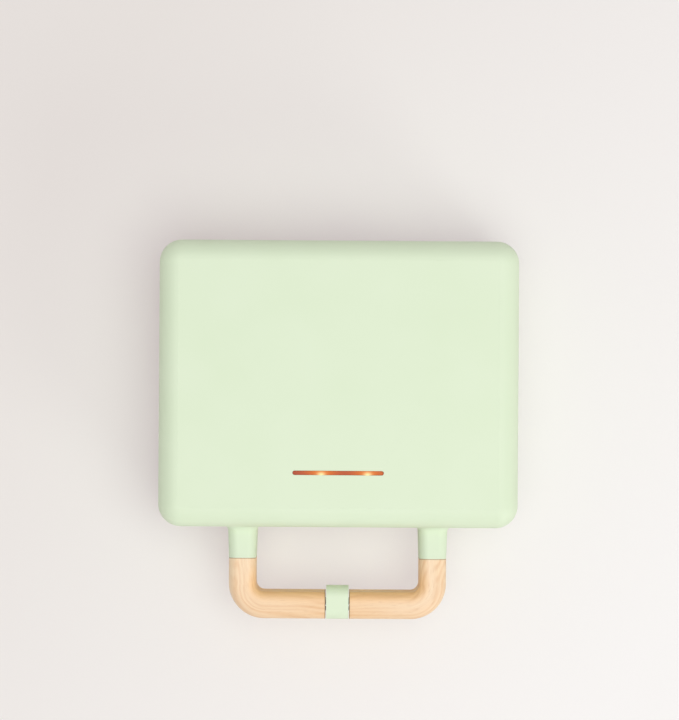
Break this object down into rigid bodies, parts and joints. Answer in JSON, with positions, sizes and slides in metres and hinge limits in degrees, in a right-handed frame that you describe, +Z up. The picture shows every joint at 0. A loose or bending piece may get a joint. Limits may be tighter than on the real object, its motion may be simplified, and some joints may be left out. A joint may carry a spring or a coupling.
{
  "type": "donut maker",
  "caption": "Tabletop donut maker: two rounded housings hinged at the rear close ring-mould baking plates, with wooden grips and a swing latch at the front.",
  "frame": {"origin": "on the table under the middle of the whole part", "axes": "+X right, -Y towards the handle, +Y to the hinge, +Z up"},
  "size_m": [0.228, 0.2416, 0.0912],
  "materials": {
    "housing": "satin moulded plastic",
    "frame": "matt heat-proof plastic",
    "wood": "satin pale ash",
    "nonstick": "dark non-stick coating on a casting",
    "heater_sheath": "oxidised steel sheath",
    "spring_steel": "bright rolled strip",
    "screw_steel": "zinc plated",
    "rod_steel": "ground bar",
    "shield_sheet": "rolled sheet",
    "ceramic": "white ceramic",
    "clamp_plastic": "white moulded plastic",
    "rubber": "matt rubber",
    "lead_insulation": "silicone insulation",
    "lead_sleeve": "braided glass-fibre sleeve",
    "lens": "tinted clear plastic",
    "lamp": "small lamp bulb"
  },
  "bodies": {
    "base": {"base_shell": "housing", "base_frame": "frame", "left_lower_grip": "wood", "right_lower_grip": "wood", "lower_plate": "nonstick", "lower_heater": "heater_sheath", "lower_heater_straps": "spring_steel", "lower_strap_screws": "screw_steel", "lower_plate_screws": "screw_steel", "base_frame_screws": "screw_steel", "lower_grip_screws": "screw_steel", "cord_clamp_screws": "screw_steel", "catch_rod": "rod_steel", "left_hinge_pin": "rod_steel", "right_hinge_pin": "rod_steel", "lower_reflector": "shield_sheet", "thermal_fuse": "ceramic", "terminal_block": "ceramic", "cord_clamp": "clamp_plastic", "cord_inlet_bush": "rubber", "front_left_foot": "rubber", "front_right_foot": "rubber", "rear_left_foot": "rubber", "rear_right_foot": "rubber", "base_leads": "lead_insulation", "hinge_lead": "lead_sleeve"},
    "lid": {"lid_shell": "housing", "lid_frame": "frame", "lid_frame_screws": "screw_steel", "upper_plate": "nonstick", "upper_plate_screws": "screw_steel", "upper_heater": "heater_sheath", "upper_heater_straps": "spring_steel", "upper_strap_screws": "screw_steel", "upper_reflector": "shield_sheet", "thermostat": "ceramic", "indicator_lens": "lens", "lamp_holder": "clamp_plastic", "power_lamp": "lamp", "ready_lamp": "lamp", "splice_block": "ceramic", "lid_leads": "lead_insulation", "left_upper_grip": "wood", "right_upper_grip": "wood", "upper_grip_screws": "screw_steel", "latch_axle": "rod_steel"},
    "latch": {"latch_clip": "housing"}
  },
  "joints": [
    {"name": "lid_hinge", "type": "hinge", "parent": "base", "child": "lid", "pos_m": [0, 0.11387, 0.064], "axis": [-1, 0, 0], "range_deg": [0, 105], "deforming": ["hinge_lead"]},
    {"name": "latch_pivot", "type": "hinge", "parent": "lid", "child": "latch", "pos_m": [0, -0.11223, 0.0552], "axis": [-1, 0, 0], "range_deg": [0, 75]}
  ]
}
